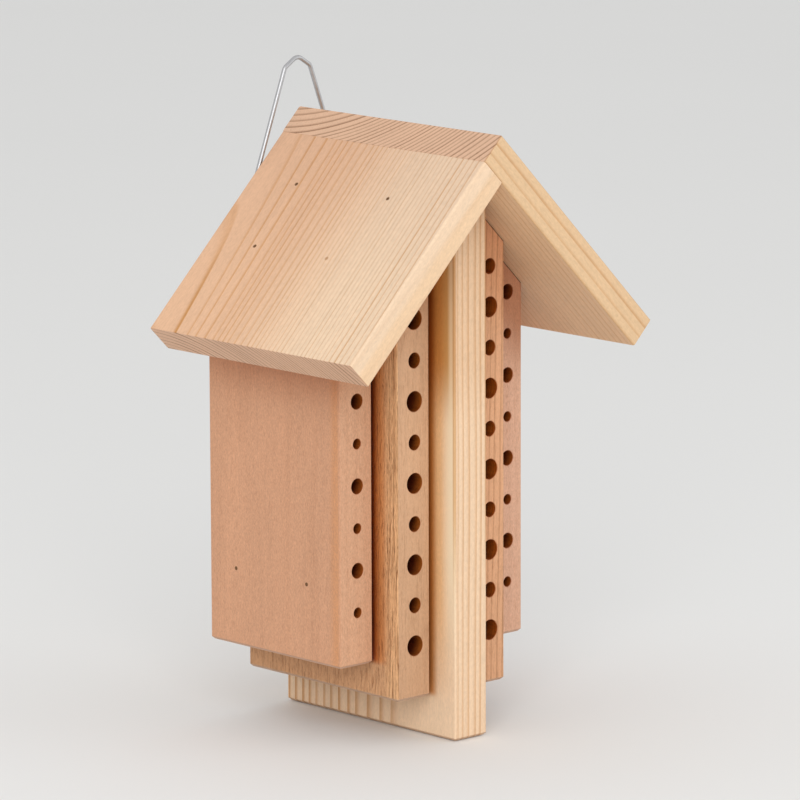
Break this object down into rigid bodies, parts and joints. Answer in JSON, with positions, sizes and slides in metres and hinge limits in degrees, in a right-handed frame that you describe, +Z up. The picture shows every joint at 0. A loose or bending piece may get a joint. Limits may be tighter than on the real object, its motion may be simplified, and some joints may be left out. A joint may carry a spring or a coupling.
{
  "type": "bee hotel",
  "caption": "Wooden bee hotel: stepped upright boards with drilled blind nest holes under a pitched roof, hung from a nail by a bent wire.",
  "frame": {"origin": "the point where a nail carries the wire: the underside of the hanger's crest, in the middle of the wire", "axes": "+X to the right seen from the front, +Y to the back, towards the wall or trunk, +Z up"},
  "size_m": [0.1612, 0.118, 0.2612],
  "materials": {
    "roof_spruce": "planed, bare",
    "centre_pine": "planed, bare",
    "inner_oak": "rough-sawn, bare",
    "outer_beech": "planed, bare",
    "galvanised_wire": "galvanised",
    "brad_steel": "dulled"
  },
  "bodies": {
    "root": {"roof_board_left": "roof_spruce", "roof_board_right": "roof_spruce", "centre_board": "centre_pine", "inner_block_left": "inner_oak", "inner_block_right": "inner_oak", "outer_block_left": "outer_beech", "outer_block_right": "outer_beech", "hanger_wire": "galvanised_wire", "roof_brads_left": "brad_steel", "roof_brads_right": "brad_steel", "side_brads_left": "brad_steel", "side_brads_right": "brad_steel"}
  },
  "joints": []
}
